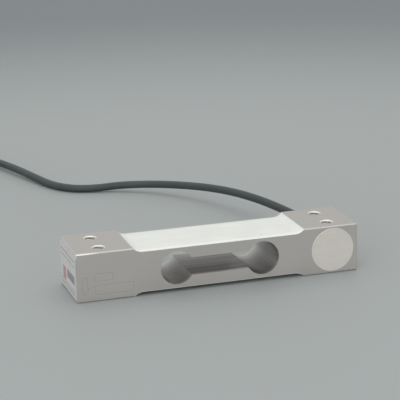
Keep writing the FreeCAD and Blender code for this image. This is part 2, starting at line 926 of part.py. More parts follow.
def coat_profile(side):
    """The silicone's side outline: the recess's floor and ends, and the coat's own face.

    The coat is level over the gauges and runs up to the beam's face at both ends."""
    reach = size("recess_length") / 2
    floor = level_value(side, 0)
    face = level_value(side, size("coat_thickness"))
    rim = level_value(side, size("recess_depth"))

    def up_to_rim(level_z, radius, run, sign):
        """The arc from a level stretch up to the rim at one end."""
        half = math.acos((radius - abs(rim - level_z)) / radius) / 2
        middle_x = run + radius * math.sin(half)
        middle_z = level_z + side * radius * (1 - math.cos(half))
        ends = [(run, level_z), (middle_x, middle_z), (reach, rim)]
        return Part.Arc(*(FreeCAD.Vector(sign * x, -size("beam_width") / 2, z) for x, z in ends))

    def flat(level_z, run):
        """The level stretch between two arcs."""
        return Part.LineSegment(
            *(FreeCAD.Vector(x, -size("beam_width") / 2, level_z) for x in (-run, run))
        )

    edges = []
    for level_z, radius, run in (
        (floor, size("recess_end_radius"), worked_out(RECESS_RUN)),
        (face, size("coat_end_radius"), worked_out(COAT_RUN)),
    ):
        edges.append(flat(level_z, run).toShape())
        edges += [up_to_rim(level_z, radius, run, sign).toShape() for sign in (-1, 1)]
    return Part.Wire(Part.__sortEdges__(edges))


def make_coat(label, side, buried):
    """White silicone in a gauge recess, with the gauges and leads set into it."""
    whole = Part.Face(coat_profile(side)).extrude(FreeCAD.Vector(0, size("beam_width"), 0))
    return node(cut("Coat_" + label, feature("Whole_" + label, whole), buried), label)


def make_pocket_filling(buried):
    """Soft silicone that fills the junction pocket up to the foil disc."""
    filling = cylinder(
        "Pocket_filling",
        "<pocket_radius>",
        "<pocket_depth>",
        (THREAD_X, f"-{HALF_WIDTH}", MID_HEIGHT),
        "y",
    )
    return node(cut("Pocket_silicone", filling, buried), "pocket_silicone")


def make_disc():
    """The adhesive foil disc over the junction pocket."""
    disc = cylinder(
        "Disc",
        "<disc_radius>",
        "<disc_thickness>",
        (THREAD_X, f"-{HALF_WIDTH} - <disc_thickness>", MID_HEIGHT),
        "y",
    )
    return node(disc, "cover_disc")


def make_label():
    """The adhesive label on the load end's face."""
    label = box(
        "Label",
        (
            "<label_thickness>",
            "<beam_width> - 2 * <label_margin>",
            "<beam_height> - 2 * <label_margin>",
        ),
        (
            f"-{HALF_LENGTH} - <label_thickness>",
            f"-{HALF_WIDTH} + <label_margin>",
            "<label_margin>",
        ),
    )
    return node(label, "end_label")


# ---------------------------------------------------------------- assembly


def check_all():
    """Every object recomputed without error, every sub-part a valid solid."""
    DOC.recompute()
    for thing in DOC.Objects:
        if "Invalid" in thing.State or "Error" in thing.State:
            raise RuntimeError(f"{thing.Name} failed: {thing.State}")
    for thing in NODES:
        shape = thing.Shape
        if shape.isNull() or not shape.isValid() or not shape.Solids:
            raise RuntimeError(f"{thing.Label} is not a valid solid")


def main():
    make_beam()
    buried = {1: [], -1: []}
    leads = []
    for name, side, end in GAUGES:
        lead = make_lead(name, side, end)
        buried[side] += [make_carrier(name, side, end), make_grid(name, side, end), lead]
        leads.append(lead)
    make_coat("top_silicone", 1, buried[1])
    make_coat("bottom_silicone", -1, buried[-1])

    jacket = node(
        tube("Jacket", cable_route(), size("cable_radius"), show_radii=True), "cable_jacket"
    )
    tail = node(tube("Tail", tail_route(), size("cable_radius"), show_radii=True), "cable_tail")
    make_seal(jacket)
    make_coil(make_tie(), [jacket, tail])
    for index, colour in enumerate(CORE_COLOURS):
        make_stripped_core(colour, index)
    make_drain()

    cores = [make_inner_core(colour, index) for index, colour in enumerate(CORE_COLOURS)]
    board = make_board()
    pads = make_pads()
    solder = make_solder(leads + cores)
    resistors = [make_resistor("zero_trim_resistor", 0.5), make_resistor("span_trim_resistor", -0.5)]
    make_pocket_filling([board, pads, solder] + resistors + leads + cores)
    make_disc()
    make_label()

    check_all()
    os.makedirs("parts", exist_ok=True)
    for thing in NODES:
        thing.Shape.exportStep(f"parts/{thing.Label}.step")
    print(f"{len(NODES)} sub-parts written")


main()
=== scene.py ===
"""Looks for the single point load cell: materials, silicone, foil, label, threads and cable."""

import math

import bmesh
import bpy
import numpy as np
from mathutils import Matrix, Vector, noise
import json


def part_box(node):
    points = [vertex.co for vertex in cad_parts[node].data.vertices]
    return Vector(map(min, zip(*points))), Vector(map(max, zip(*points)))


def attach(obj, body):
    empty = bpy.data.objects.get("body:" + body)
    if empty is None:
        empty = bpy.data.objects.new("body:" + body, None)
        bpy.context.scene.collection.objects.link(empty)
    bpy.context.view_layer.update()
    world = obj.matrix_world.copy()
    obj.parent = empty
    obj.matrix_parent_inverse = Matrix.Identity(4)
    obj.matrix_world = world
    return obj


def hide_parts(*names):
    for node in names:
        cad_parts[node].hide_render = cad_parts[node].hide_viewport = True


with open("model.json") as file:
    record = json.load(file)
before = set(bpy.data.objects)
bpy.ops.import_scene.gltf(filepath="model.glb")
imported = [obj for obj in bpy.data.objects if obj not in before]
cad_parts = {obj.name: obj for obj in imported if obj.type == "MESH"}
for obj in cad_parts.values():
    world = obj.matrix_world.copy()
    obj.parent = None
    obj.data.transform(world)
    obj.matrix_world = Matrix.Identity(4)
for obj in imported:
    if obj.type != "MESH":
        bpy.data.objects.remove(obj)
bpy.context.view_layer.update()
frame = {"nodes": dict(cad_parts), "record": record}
NODES = frame["nodes"]
MM = 0.001

# ------------------------------------------------------------------ the cell's sizes

BEAM_LOW, BEAM_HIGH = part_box("beam")
MID_Z = (BEAM_LOW.z + BEAM_HIGH.z) / 2
CHAMFER = 0.5 * MM
BORE_X, BORE_RADIUS, SLOT_HALF = 19.7 * MM, 7.6 * MM, 4 * MM
THREAD_X, THREAD_Y = 53 * MM, 7.5 * MM

DISC_LOW, DISC_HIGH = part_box("cover_disc")
DISC_CENTRE = (DISC_LOW + DISC_HIGH) / 2
POCKET_RADIUS = 9 * MM

LABEL_LOW, LABEL_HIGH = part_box("end_label")
# What is printed on the label, in mm: rules as lower edge and thickness, and two blocks as
# the span of each along Y and Z.
RULE_HALF = 12.6
RULES = ((17.6, 0.6), (15.3, 0.5), (4.0, 0.5), (2.4, 0.6))
DARK_BLOCK = (-12.0, 1.8, 7.2, 11.1)
RED_BLOCK = (3.8, 9.4, 4.9, 10.7)

# Recess and silicone profile, as in the CAD coat. The top coat leaves a strip bare behind it.
RECESS_DEPTH, RECESS_END = 2 * MM, 5 * MM
COAT_THICK, COAT_END = 0.6 * MM, 8 * MM
BARE_STRIP = 1.3 * MM
PINHOLE = (20.4 * MM, -11.4 * MM)

CABLE_RADIUS = 2 * MM
CORE_COLOURS = ("red", "black", "green", "white")

# ------------------------------------------------------------------ camera

# Camera place and axes, matched to the photograph's perspective. Lens and sensor in mm.
CAMERA_PLACE = Vector((-0.21020, -0.65704, 0.22927))
CAMERA_RIGHT = Vector((0.95232, -0.30445, -0.01973))
CAMERA_UP = Vector((0.10035, 0.25154, 0.96262))
CAMERA_BACK = Vector((-0.28811, -0.91871, 0.27010))
SENSOR = 36.0
FOCAL = 145.386
CLIP = (0.02, 20)


def make_camera():
    """A camera at the photograph's viewing angle."""
    data = bpy.data.cameras.new("camera")
    data.sensor_width = SENSOR
    data.lens = FOCAL
    data.clip_start, data.clip_end = CLIP
    camera = bpy.data.objects.new("camera", data)
    bpy.context.scene.collection.objects.link(camera)
    axes = Matrix((CAMERA_RIGHT, CAMERA_UP, CAMERA_BACK)).transposed().to_4x4()
    camera.matrix_world = Matrix.Translation(CAMERA_PLACE) @ axes
    bpy.context.scene.camera = camera


# ------------------------------------------------------------------ materials


class Shade:
    """One procedural material: a Principled shader and the nodes that feed it."""

    def __init__(self, name, roughness, metallic=0.0, **sockets):
        self.material = bpy.data.materials.new(name)
        self.material.use_nodes = True
        self.tree = self.material.node_tree
        self.shader = self.tree.nodes["Principled BSDF"]
        self.shader.inputs["Roughness"].default_value = roughness
        self.shader.inputs["Metallic"].default_value = metallic
        for socket, value in sockets.items():
            self.shader.inputs[socket.replace("_", " ")].default_value = value
        self.place = self.node("ShaderNodeTexCoord").outputs["Object"]
        self.facing = self.tree.nodes["Texture Coordinate"].outputs["Normal"]

    def node(self, kind, **settings):
        made = self.tree.nodes.new(kind)
        for field, value in settings.items():
            setattr(made, field, value)
        return made

    def feed(self, socket, value):
        """A number, colour or output goes into a socket."""
        if isinstance(value, bpy.types.NodeSocket):
            self.tree.links.new(value, socket)
        elif hasattr(value, "__len__") and len(value) == 3 and socket.type == "RGBA":
            socket.default_value = (*value, 1)
        else:
            socket.default_value = value

    def math(self, operation, *values):
        made = self.node("ShaderNodeMath", operation=operation)
        for socket, value in zip(made.inputs, values):
            self.feed(socket, value)
        return made.outputs[0]

    def both(self, one, two):
        """The product of two masks: 1 where both are."""
        return self.math("MULTIPLY", one, two)

    def between(self, value, low, high):
        """1 where the value lies between low and high."""
        return self.both(
            self.math("GREATER_THAN", value, low), self.math("LESS_THAN", value, high)
        )

    def distance(self, parts, centre):
        """How far two coordinates lie from a centre."""
        off = [self.math("SUBTRACT", part, at) for part, at in zip(parts, centre)]
        squares = [self.math("MULTIPLY", part, part) for part in off]
        return self.math("SQRT", self.math("ADD", *squares))

    def split(self, vector):
        made = self.node("ShaderNodeSeparateXYZ")
        self.feed(made.inputs[0], vector)
        return made.outputs

    def noise(self, scale, stretch=(1, 1, 1), detail=3.0, rough=0.5):
        """Noise of about scale features per metre, closer together where stretch is more."""
        mapping = self.node("ShaderNodeMapping")
        self.feed(mapping.inputs["Vector"], self.place)
        mapping.inputs["Scale"].default_value = stretch
        made = self.node("ShaderNodeTexNoise")
        self.feed(made.inputs["Vector"], mapping.outputs[0])
        made.inputs["Scale"].default_value = scale
        made.inputs["Detail"].default_value = detail
        made.inputs["Roughness"].default_value = rough
        return made.outputs["Fac"]

    def spread(self, value, low, high, start=0.3, stop=0.7, kind="LINEAR"):
        """A value between start and stop, drawn out to run from low to high."""
        made = self.node("ShaderNodeMapRange", interpolation_type=kind)
        for socket, number in zip(made.inputs, (value, start, stop, low, high)):
            self.feed(socket, number)
        return made.outputs[0]

    def mix(self, factor, one, two):
        """Colour one where the factor is 0, and colour two where it is 1."""
        factor_socket, one_socket, two_socket, colour_output = 0, 6, 7, 2
        made = self.node("ShaderNodeMix", data_type="RGBA")
        self.feed(made.inputs[factor_socket], factor)
        self.feed(made.inputs[one_socket], one)
        self.feed(made.inputs[two_socket], two)
        return made.outputs[colour_output]

    def bump(self, height, depth):
        """Relief of that depth in metres, on top of what was there before."""
        made = self.node("ShaderNodeBump")
        made.inputs["Strength"].default_value = 1.0
        made.inputs["Distance"].default_value = depth
        self.feed(made.inputs["Height"], height)
        normal = self.shader.inputs["Normal"]
        if normal.is_linked:
            self.feed(made.inputs["Normal"], normal.links[0].from_socket)
        self.feed(normal, made.outputs[0])

    def colour(self, value):
        self.feed(self.shader.inputs["Base Color"], value)

    def roughness(self, value):
        self.feed(self.shader.inputs["Roughness"], value)


def tint(colour, factor):
    """A colour made lighter or darker, and white at the most."""
    return tuple(min(1.0, part * factor) for part in colour)


def mottled(name, colour, roughness, metallic=0.0, grain=900, depth=0.01 * MM):
    """A plain moulded or cast finish: slight colour drift, uneven gloss and a fine grain."""
    shade = Shade(name, roughness, metallic)
    drift = shade.noise(60, detail=4)
    fine = shade.noise(grain, detail=3)
    base = shade.mix(shade.spread(drift, 0, 1), tint(colour, 0.93), tint(colour, 1.06))
    shade.colour(shade.mix(shade.spread(fine, 0, 0.35), base, tint(colour, 0.85)))
    shade.roughness(shade.spread(fine, roughness - 0.05, roughness + 0.07))
    shade.bump(fine, depth)
    return shade.material


def painted_bore_light(shade, colour, turned, flat, y, z):
    """Colour inside the opening: turned bore walls and cutter tracks on the slot's flats, painted
    dark as shade, with painted light at the back and front edge.
    """
    cutter = shade.noise(1, (9, 330, 330), detail=4, rough=0.75)
    wall = shade.mix(shade.spread(turned, 0, 1), tint(colour, 0.40), tint(colour, 0.62))
    track = shade.mix(shade.spread(cutter, 0, 1), tint(colour, 0.22), tint(colour, 0.66))

    # painted light and shade: the walls grow paler towards the open back, a painted reflection of
    # the floor behind, and painted shade makes them darker low down
    back = shade.spread(y, 0, 0.95, -3 * MM, BEAM_HIGH.y)
    back = shade.math("MULTIPLY", back, back)
    bore_shading = shade.mix(flat, shade.mix(back, wall, (0.65, 0.665, 0.645)), track)
    painted_low_shade = shade.spread(z, 0.6, 0, MID_Z - 6.5 * MM, MID_Z + 1 * MM)
    painted_low_shade = shade.both(painted_low_shade, shade.math("SUBTRACT", 1, back))
    bore_shading = shade.mix(painted_low_shade, bore_shading, (0, 0, 0))

    # a painted highlight along the front edge, on the flats and in the lower half
    painted_lip_light = shade.spread(y, 1, 0, BEAM_LOW.y, BEAM_LOW.y + 2.6 * MM)
    bore_shading = shade.mix(shade.both(painted_lip_light, flat), bore_shading, tint(colour, 1.05))
    painted_low_lip_light = shade.both(painted_lip_light, shade.spread(z, 0.5, 0, MID_Z - 5 * MM, MID_Z))
    return shade.mix(painted_low_lip_light, bore_shading, tint(colour, 0.8))


def aluminium_bar():
    """Ground and clear anodised bar with milled bores; painted shade and highlights on its level
    faces, chamfers, thread mouths and bores.
    """
    shade = Shade("aluminium_bar", 0.4, 0.9)
    colour = (0.705, 0.668, 0.636)
    pad_light, pad_dark = (0.565, 0.548, 0.520), (0.520, 0.504, 0.480)
    edge, painted_edge_highlight, painted_mouth_highlight = (0.66, 0.645, 0.617), (0.97, 0.95, 0.89), (0.94, 0.93, 0.87)
    near = 0.05 * MM
    grind = shade.noise(1, (90, 3200, 3200), detail=4, rough=0.6)
    cloud = shade.noise(45, detail=5)
    sparkle = shade.noise(2600, detail=2)
    turned = shade.noise(1, (40, 1100, 1100), detail=3, rough=0.7)

    x, y, z = shade.split(shade.place)
    across = shade.math("ABSOLUTE", x)
    height = shade.math("ABSOLUTE", shade.math("SUBTRACT", z, MID_Z))
    nx, ny, nz = (shade.math("ABSOLUTE", part) for part in shade.split(shade.facing))

    # ground faces; the level ones with a grain of their own, painted darker as shade
    base = shade.mix(shade.spread(cloud, 0, 1), tint(colour, 0.96), tint(colour, 1.04))
    base = shade.mix(shade.spread(grind, 0, 0.5), base, tint(colour, 0.92))
    painted_level_shade = shade.math("GREATER_THAN", nz, 0.9)
    base = shade.mix(painted_level_shade, base, shade.mix(shade.spread(grind, 0, 1), pad_light, pad_dark))

    # chamfers: painted a shade darker to dim their sheen, with a painted highlight round the top
    # of the load end
    slant = shade.math("ADD", shade.both(ny, nz), shade.both(nx, ny))
    chamfer = shade.math("GREATER_THAN", slant, 0.3)
    top = shade.math("GREATER_THAN", z, MID_Z + 9 * MM)
    load_end_highlight = shade.both(shade.spread(x, 1, 0, -60 * MM, -54 * MM), top)
    base = shade.mix(chamfer, base, shade.mix(load_end_highlight, edge, painted_edge_highlight))

    # thread mouths: a painted highlight on the lead-in, painted shade below it
    from_axis = shade.distance((across, shade.math("ABSOLUTE", y)), (THREAD_X, THREAD_Y))
    mouth = shade.both(
        shade.math("LESS_THAN", from_axis, 3.04 * MM), shade.math("LESS_THAN", nz, 0.95)
    )
    depth = shade.math("SUBTRACT", MID_Z, height)
    below = shade.spread(depth, 0, 1, 1.3 * MM, 1.7 * MM)
    base = shade.mix(mouth, base, shade.mix(below, painted_mouth_highlight, tint(colour, 0.15)))

    # inside the bores and the slot between them, with painted shade and light
    inside = shade.both(
        shade.math("LESS_THAN", across, BORE_X + BORE_RADIUS + near),
        shade.math("LESS_THAN", height, BORE_RADIUS + near),
    )
    inside = shade.both(inside, shade.math("LESS_THAN", ny, 0.2))
    flat = shade.between(height, SLOT_HALF - near, SLOT_HALF + near)
    flat = shade.both(flat, shade.math("GREATER_THAN", nz, 0.95))
    shade.colour(shade.mix(inside, base, painted_bore_light(shade, colour, turned, flat, y, z)))

    gloss = shade.spread(grind, 0.36, 0.46)
    shade.roughness(shade.math("SUBTRACT", gloss, shade.math("MULTIPLY", inside, 0.08)))
    relief = shade.math("ADD", shade.math("MULTIPLY", grind, 0.7), sparkle)
    shade.bump(relief, 0.005 * MM)
    shade.bump(shade.both(turned, inside), 0.05 * MM)
    return shade.material


def white_silicone():
    """Poured and smoothed silicone, satin and a little cloudy, with one pinhole and a painted
    highlight along its front edge.
    """
    shade = Shade(
        "white_silicone",
        0.42,
        Subsurface_Weight=0.12,
        Subsurface_Scale=2 * MM,
        Specular_IOR_Level=0.4,
    )
    colour, painted_edge_highlight = (0.86, 0.868, 0.825), (0.985, 0.985, 0.95)
    cloud = shade.noise(70, (1, 2.2, 1), detail=5)
    wipe = shade.noise(1, (60, 500, 500), detail=3)
    pore = shade.noise(1500, detail=2)
    base = shade.mix(shade.spread(cloud, 0, 1), tint(colour, 0.965), tint(colour, 1.03))
    base = shade.mix(shade.spread(pore, 0, 1, 0.68, 0.76), base, tint(colour, 0.8))

    # a painted highlight along the rolled front edge, and the pinhole in the top coat, darkened
    # with painted shade
    x, y, z = shade.split(shade.place)
    base = shade.mix(shade.spread(y, 0.85, 0, -14.7 * MM, -12.6 * MM), base, painted_edge_highlight)
    hole = shade.spread(shade.distance((x, y), PINHOLE), 1, 0, 0.25 * MM, 0.5 * MM)
    hole = shade.both(hole, shade.math("GREATER_THAN", z, MID_Z))
    shade.colour(shade.mix(shade.math("MULTIPLY", hole, 0.6), base, tint(colour, 0.35)))
    shade.roughness(shade.spread(cloud, 0.36, 0.5))
    shade.bump(shade.math("ADD", cloud, shade.math("MULTIPLY", wipe, 0.25)), 0.09 * MM)
    shade.bump(shade.math("SUBTRACT", 1, hole), 0.2 * MM)
    return shade.material


def foil_disc():
    """Satin adhesive foil, with painted shade in the groove where the pocket's rim shows through
    it.
    """
    shade = Shade("foil_disc", 0.46, 0.3)
    colour = (0.85, 0.81, 0.755)
    crease = shade.noise(160, (1, 1, 2.5), detail=4, rough=0.6)
    grain = shade.noise(1, (3000, 3000, 140), detail=3)
    base = shade.mix(shade.spread(crease, 0, 1), tint(colour, 0.97), tint(colour, 1.03))
    base = shade.mix(shade.spread(grain, 0, 0.3), base, tint(colour, 0.93))
    x, _, z = shade.split(shade.place)
    # a painted shade ring along the groove over the pocket's rim
    away = shade.distance((x, z), (DISC_CENTRE.x, DISC_CENTRE.z))
    rim = shade.math("ABSOLUTE", shade.math("SUBTRACT", away, POCKET_RADIUS))
    rim = shade.spread(rim, 0.25, 0, 0, 0.35 * MM)
    shade.colour(shade.mix(rim, base, tint(colour, 0.8)))
    shade.roughness(shade.spread(grain, 0.42, 0.54))
    shade.bump(shade.math("ADD", crease, shade.math("MULTIPLY", grain, 0.2)), 0.04 * MM)
    return shade.material


def label_film():
    """Silver-white film with plain printed rules and two plain blocks, and no words."""
    shade = Shade("label_film", 0.38, 0.15)
    film = (0.76, 0.75, 0.74)
    grey, dark, red = (0.30, 0.31, 0.33), (0.17, 0.18, 0.18), (0.56, 0.17, 0.19)
    cloud = shade.noise(120, detail=4)
    base = shade.mix(shade.spread(cloud, 0, 1), tint(film, 0.95), tint(film, 1.04))
    x, y, z = shade.split(shade.place)
    shown_side = shade.math("LESS_THAN", x, (LABEL_LOW.x + LABEL_HIGH.x) / 2)

    def printed(under, colour, y_from, y_to, z_from, z_to):
        """One block of ink, unevenly worn, on the side that faces out."""
        area = shade.both(
            shade.between(y, y_from * MM, y_to * MM),
            shade.between(z, z_from * MM, z_to * MM),
        )
        worn = shade.spread(shade.noise(700, detail=2), 0.62, 0.86)
        return shade.mix(shade.both(shade.both(area, shown_side), worn), under, colour)

    for z_from, thick in RULES:
        base = printed(base, grey, -RULE_HALF, RULE_HALF, z_from, z_from + thick)
    base = printed(base, dark, *DARK_BLOCK)
    base = printed(base, red, *RED_BLOCK)
    shade.colour(base)
    shade.roughness(shade.spread(cloud, 0.33, 0.45))
    shade.bump(cloud, 0.02 * MM)
    return shade.material


def cable_sheath():
    """Matte grey-black PVC with a fine pebble, and painted shade near the exit."""
    shade = Shade("cable_sheath", 0.5, Specular_IOR_Level=0.45)
    colour = (0.054, 0.069, 0.069)
    cloud = shade.noise(55, detail=4)
    pebble = shade.noise(1400, detail=3, rough=0.6)
    base = shade.mix(shade.spread(cloud, 0, 1), tint(colour, 0.86), tint(colour, 1.15))
    base = shade.mix(shade.spread(pebble, 0, 0.4), base, tint(colour, 1.35))
    _, y, _ = shade.split(shade.place)
    # painted shade on the sheath near the exit
    painted_exit_shade = shade.spread(y, 0.5, 0, 50 * MM, 150 * MM)
    shade.colour(shade.mix(painted_exit_shade, base, tint(colour, 0.4)))
    shade.roughness(shade.spread(pebble, 0.44, 0.58))
    shade.bump(shade.math("ADD", pebble, shade.math("MULTIPLY", cloud, 2)), 0.02 * MM)
    return shade.material


def board_laminate():
    """Green solder mask with the weave of the glass cloth under it."""
    shade = Shade("board_laminate", 0.35)
    weave_rate = 9000
    x, _, z = shade.split(shade.place)
    weave = shade.math("MULTIPLY", *(
        shade.math("SINE", shade.math("MULTIPLY", part, weave_rate)) for part in (x, z)
    ))
    cloud = shade.noise(400, detail=3)
    base = shade.mix(shade.spread(cloud, 0, 1), (0.03, 0.20, 0.08), (0.05, 0.27, 0.12))
    shade.colour(shade.mix(shade.spread(weave, 0, 0.25, -1, 1), base, (0.08, 0.36, 0.17)))
    shade.roughness(shade.spread(cloud, 0.3, 0.42))
    shade.bump(weave, 0.01 * MM)
    return shade.material


def drawn_metal(name, colour, roughness, along=(1, 1, 1)):
    """Drawn or etched metal: fine lines along it, with a little tarnish."""
    shade = Shade(name, roughness, 1.0)
    lines = shade.noise(1400, along, detail=3)
    tarnish = shade.noise(180, detail=4)
    base = shade.mix(shade.spread(tarnish, 0, 1), tint(colour, 0.82), tint(colour, 1.08))
    shade.colour(shade.mix(shade.spread(lines, 0, 0.4), base, tint(colour, 0.7)))
    shade.roughness(shade.spread(lines, roughness - 0.08, roughness + 0.1))
    shade.bump(lines, 0.006 * MM)
    return shade.material


# ------------------------------------------------------------------ shapes

SMOOTH_ANGLE = math.radians(35)
SAME_POINT = 1e-7


def unit(value):
    """The value, held between 0 and 1."""
    return min(1.0, max(0.0, value))


def finish_mesh(name, made):
    """A mesh object from a bmesh, shaded smooth with its sharp edges kept."""
    mesh = bpy.data.meshes.new(name)
    made.normal_update()
    for edge in made.edges:
        if len(edge.link_faces) == 2:
            edge.smooth = edge.calc_face_angle(0) < SMOOTH_ANGLE
    for face in made.faces:
        face.smooth = True
    made.to_mesh(mesh)
    made.free()
    piece = bpy.data.objects.new(name, mesh)
    bpy.context.scene.collection.objects.link(piece)
    return piece


def placed(piece, slot, *nodes):
    """The piece rides on the part's one body and stands in for the CAD nodes it replaces."""
    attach(piece, "root")
    if nodes:
        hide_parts(*nodes)
    return piece


def closed_piece(name, made, material, slot, *nodes):
    """A piece from a closed bmesh, with its faces outward and its material on it."""
    bmesh.ops.recalc_face_normals(made, faces=made.faces)
    piece = finish_mesh(name, made)
    piece.data.materials.append(material)
    return placed(piece, slot, *nodes)


def slab(across, along, place):
    """A closed sheet: place(u, v) gives the outer and the inner point, u and v from -1 to 1."""
    made = bmesh.new()
    outer, inner = [], []
    for u in across:
        pairs = [place(u, v) for v in along]
        outer.append([made.verts.new(pair[0]) for pair in pairs])
        inner.append([made.verts.new(pair[1]) for pair in pairs])
    wide, long = len(across), len(along)
    for i in range(wide - 1):
        for j in range(long - 1):
            made.faces.new((outer[i][j], outer[i + 1][j], outer[i + 1][j + 1], outer[i][j + 1]))
            made.faces.new((inner[i][j], inner[i][j + 1], inner[i + 1][j + 1], inner[i + 1][j]))
    ring = [(i, 0) for i in range(wide)] + [(wide - 1, j) for j in range(1, long)]
    ring += [(i, long - 1) for i in range(wide - 2, -1, -1)]
    ring += [(0, j) for j in range(long - 2, 0, -1)]
    for (i, j), (k, m) in zip(ring, ring[1:] + ring[:1]):
        made.faces.new((outer[i][j], inner[i][j], inner[k][m], outer[k][m]))
    bmesh.ops.remove_doubles(made, verts=made.verts, dist=SAME_POINT)
    return made


def band(made, one, two):
    """Faces between two rings with as many points."""
    for k in range(len(one)):
        n = (k + 1) % len(one)
        made.faces.new((one[k], one[n], two[n], two[k]))


def lathe(profile, place, segments=64):
    """A ring turned from a closed profile of (radius, height), set by a matrix."""
    made = bmesh.new()
    rings = []
    for step in range(segments):
        turn = 2 * math.pi * step / segments
        rings.append([
            made.verts.new(place @ Vector((r * math.cos(turn), r * math.sin(turn), h)))
            for r, h in profile
        ])
    for one, two in zip(rings, rings[1:] + rings[:1]):
        band(made, one, two)
    return made


def spaced(count, crowd=0.0):
    """Values from -1 to 1, evenly spaced or crowded towards the ends."""
    steps = np.linspace(-1, 1, count)
    return [float((1 - crowd) * s + crowd * math.sin(s * math.pi / 2)) for s in steps]


def ripple(x, y, wave, seed):
    """Smooth unevenness between -1 and 1."""
    return noise.noise(Vector((x / wave, y / wave, seed)))


# ------------------------------------------------------------------ the cell


def risen(x, reach, fall, radius):
    """How far an end sweep of that radius has risen at x."""
    run = reach - math.sqrt(2 * radius * fall - fall * fall)
    over = max(0.0, abs(x) - run)
    return radius - math.sqrt(max(0.0, radius * radius - over * over))


def make_coat(name, node, side, back_gap, material):
    """Silicone smoothed over a gauge recess: crowned, thin at its long edges, uneven.

    It stops back_gap short of the beam's back face, and over the gauge leads, in the front
    half, it keeps a least thickness that hides them."""
    _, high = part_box(node)
    reach, half = high.x, high.y
    face = BEAM_HIGH.z if side > 0 else BEAM_LOW.z
    level_half, edge_drop = 7.5 * MM, 0.48 * MM
    broad_wave, fine_wave, end_run = 14 * MM, 4 * MM, 6 * MM
    edge_run, leads_end, leads_run = 1.1 * MM, 3 * MM, 2.4 * MM

    def place(u, v):
        x = u * reach
        y = v * half if v < 0 else v * (half - back_gap)
        if x < 0 and y > 0:  # the back corner at the load end is drawn in
            x += back_gap * 0.6 * (y / half) * u * u
        floor = -RECESS_DEPTH + risen(x, reach, RECESS_DEPTH, RECESS_END)
        fall = RECESS_DEPTH - COAT_THICK
        skin = -fall + risen(x, reach, fall, COAT_END)
        body = unit((skin - floor) / COAT_THICK)

        limit = half if y < 0 else half - back_gap
        crown = max(0.0, abs(y) - level_half) / (limit - level_half)
        droop = edge_drop * crown * crown
        uneven = 0.10 * ripple(x, y, broad_wave, side) + 0.035 * ripple(x, y, fine_wave, 3 + side)
        uneven *= MM * min(1.0, (reach - abs(x)) / end_run) * (1 - 0.7 * crown)

        over_leads = unit((half - abs(y)) / edge_run) * unit((leads_end - y) / leads_run)
        least = (0.03 + 0.54 * over_leads) * MM
        skin = max(skin + (uneven - droop) * body, floor + least * body)
        return (x, y, face + side * skin), (x, y, face + side * floor)

    made = slab(spaced(181, 0.5), spaced(61, 0.95), place)
    return closed_piece(name, made, material, "white_silicone", node)


def make_disc(material):
    """The foil disc: pressed down a little inside the pocket's rim, its edge slightly turned."""
    radius = (DISC_HIGH.x - DISC_LOW.x) / 2
    groove, groove_half = 0.05 * MM, 0.45 * MM
    dish, dish_run = 0.03 * MM, 2 * MM
    waviness, wave = 0.012 * MM, 2.6 * MM
    turned, turned_run = 0.12 * MM, 0.25 * MM

    def place(u, v):
        a, b = u * math.sqrt(1 - v * v / 2), v * math.sqrt(1 - u * u / 2)
        x, z = DISC_CENTRE.x + a * radius, DISC_CENTRE.z + b * radius
        r = radius * math.hypot(a, b)
        sunk = groove * max(0.0, 1 - ((r - POCKET_RADIUS) / groove_half) ** 2)
        if r < POCKET_RADIUS:
            sunk += dish * min(1.0, (POCKET_RADIUS - r) / dish_run)
        sunk += waviness * (1 + ripple(x, z, wave, 7))
        rim = max(0.0, 1 - (radius - r) / turned_run)
        sunk += turned * rim * rim
        return (x, DISC_LOW.y + sunk, z), (x, DISC_HIGH.y, z)

    made = slab(spaced(111, 0.25), spaced(111, 0.25), place)
    return closed_piece("foil_cover", made, material, "foil_disc", "cover_disc")


def make_label(material):
    """The film label: rounded corners, a faint waviness and slightly turned edges."""
    half_y = (LABEL_HIGH.y - LABEL_LOW.y) / 2
    half_z = (LABEL_HIGH.z - LABEL_LOW.z) / 2
    mid_y, mid_z = (LABEL_HIGH.y + LABEL_LOW.y) / 2, (LABEL_HIGH.z + LABEL_LOW.z) / 2
    corner = 1.3 * MM
    waviness, wave = 0.03 * MM, 6 * MM
    turned, turned_run = 0.06 * MM, 0.3 * MM

    def place(u, v):
        z = v * half_z
        into = max(0.0, abs(z) - (half_z - corner))
        reach = half_y - corner + math.sqrt(max(0.0, corner * corner - into * into))
        y = u * reach
        lift = waviness * (1 + ripple(y, z, wave, 11)) / 2
        to_rim = min(reach - abs(y), half_z - abs(z))
        lift += turned * max(0.0, 1 - to_rim / turned_run)
        return (LABEL_LOW.x + lift, mid_y + y, mid_z + z), (LABEL_HIGH.x, mid_y + y, mid_z + z)

    made = slab(spaced(61, 0.3), spaced(49, 0.6), place)
    return closed_piece("label_film", made, material, "label_film", "end_label")


